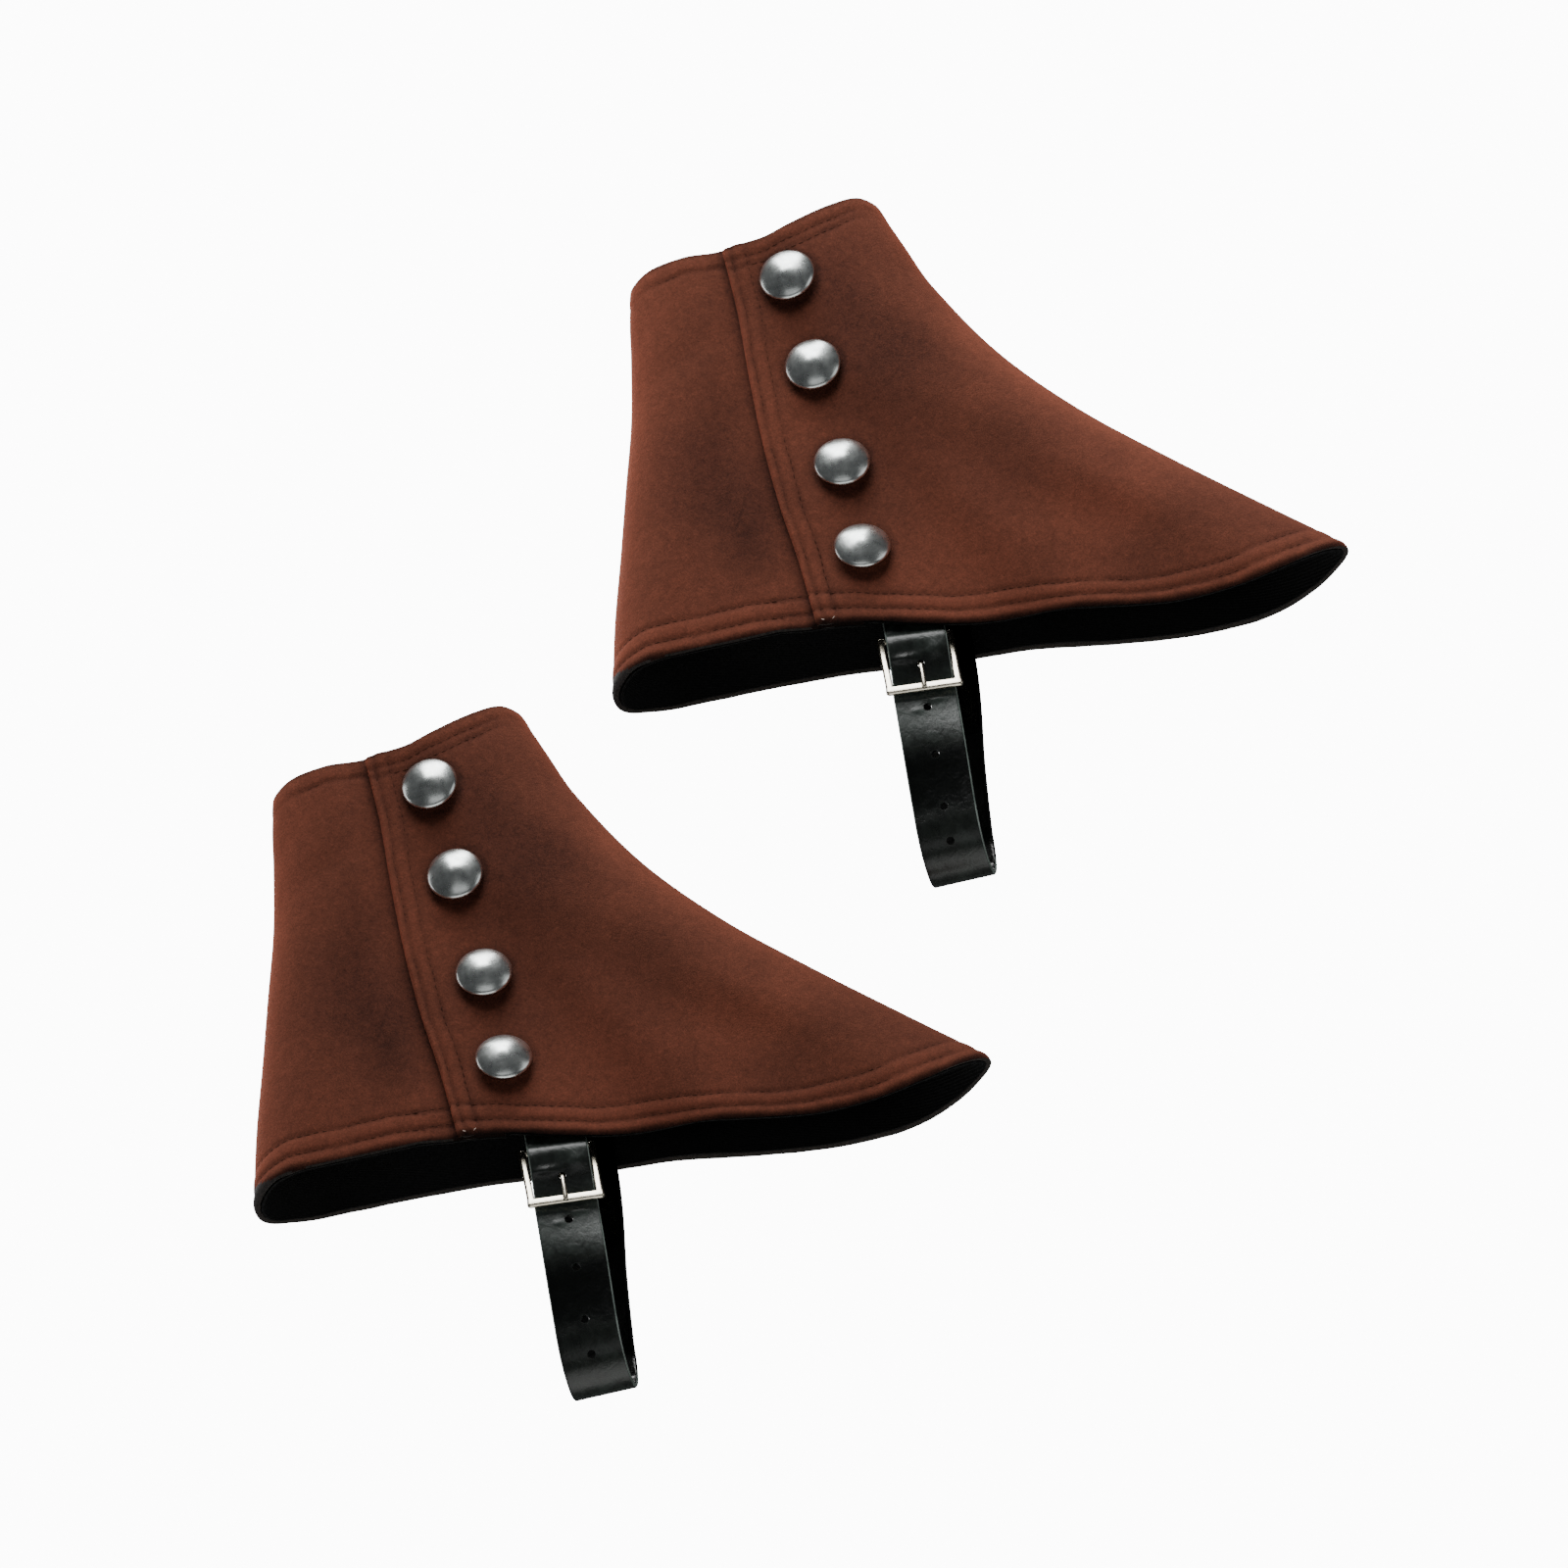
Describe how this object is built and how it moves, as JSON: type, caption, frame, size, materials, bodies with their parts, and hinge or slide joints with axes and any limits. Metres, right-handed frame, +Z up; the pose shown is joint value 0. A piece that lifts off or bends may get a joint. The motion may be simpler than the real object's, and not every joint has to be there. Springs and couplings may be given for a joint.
{
  "type": "pair of boot covers",
  "caption": "Hollow felt boot covers with a buttoned side lap, open ankle and hem, and a buckled leather strap that passes under the boot.",
  "frame": {"origin": "centre of the first cover's ankle opening, where the leg holds it", "axes": "+X to the toe, +Z up the leg, -Y the buttoned outer side; the second cover hangs lower and towards -X"},
  "size_m": [0.4042, 0.0503, 0.4078],
  "materials": {
    "felt": "brown wool felt with a short nap",
    "lining": "matt black twill",
    "leather": "black, satin",
    "nickel": "polished nickel"
  },
  "bodies": {
    "root": {"first_outer_front": "felt", "first_outer_back": "felt", "first_inner_side": "felt", "first_lining": "lining", "first_button_1": "nickel", "first_button_2": "nickel", "first_button_3": "nickel", "first_button_4": "nickel", "first_strap": "leather", "first_tab": "leather", "first_buckle_frame": "nickel", "first_prong": "nickel", "second_outer_front": "felt", "second_outer_back": "felt", "second_inner_side": "felt", "second_lining": "lining", "second_button_1": "nickel", "second_button_2": "nickel", "second_button_3": "nickel", "second_button_4": "nickel", "second_strap": "leather", "second_tab": "leather", "second_buckle_frame": "nickel", "second_prong": "nickel"}
  },
  "joints": []
}
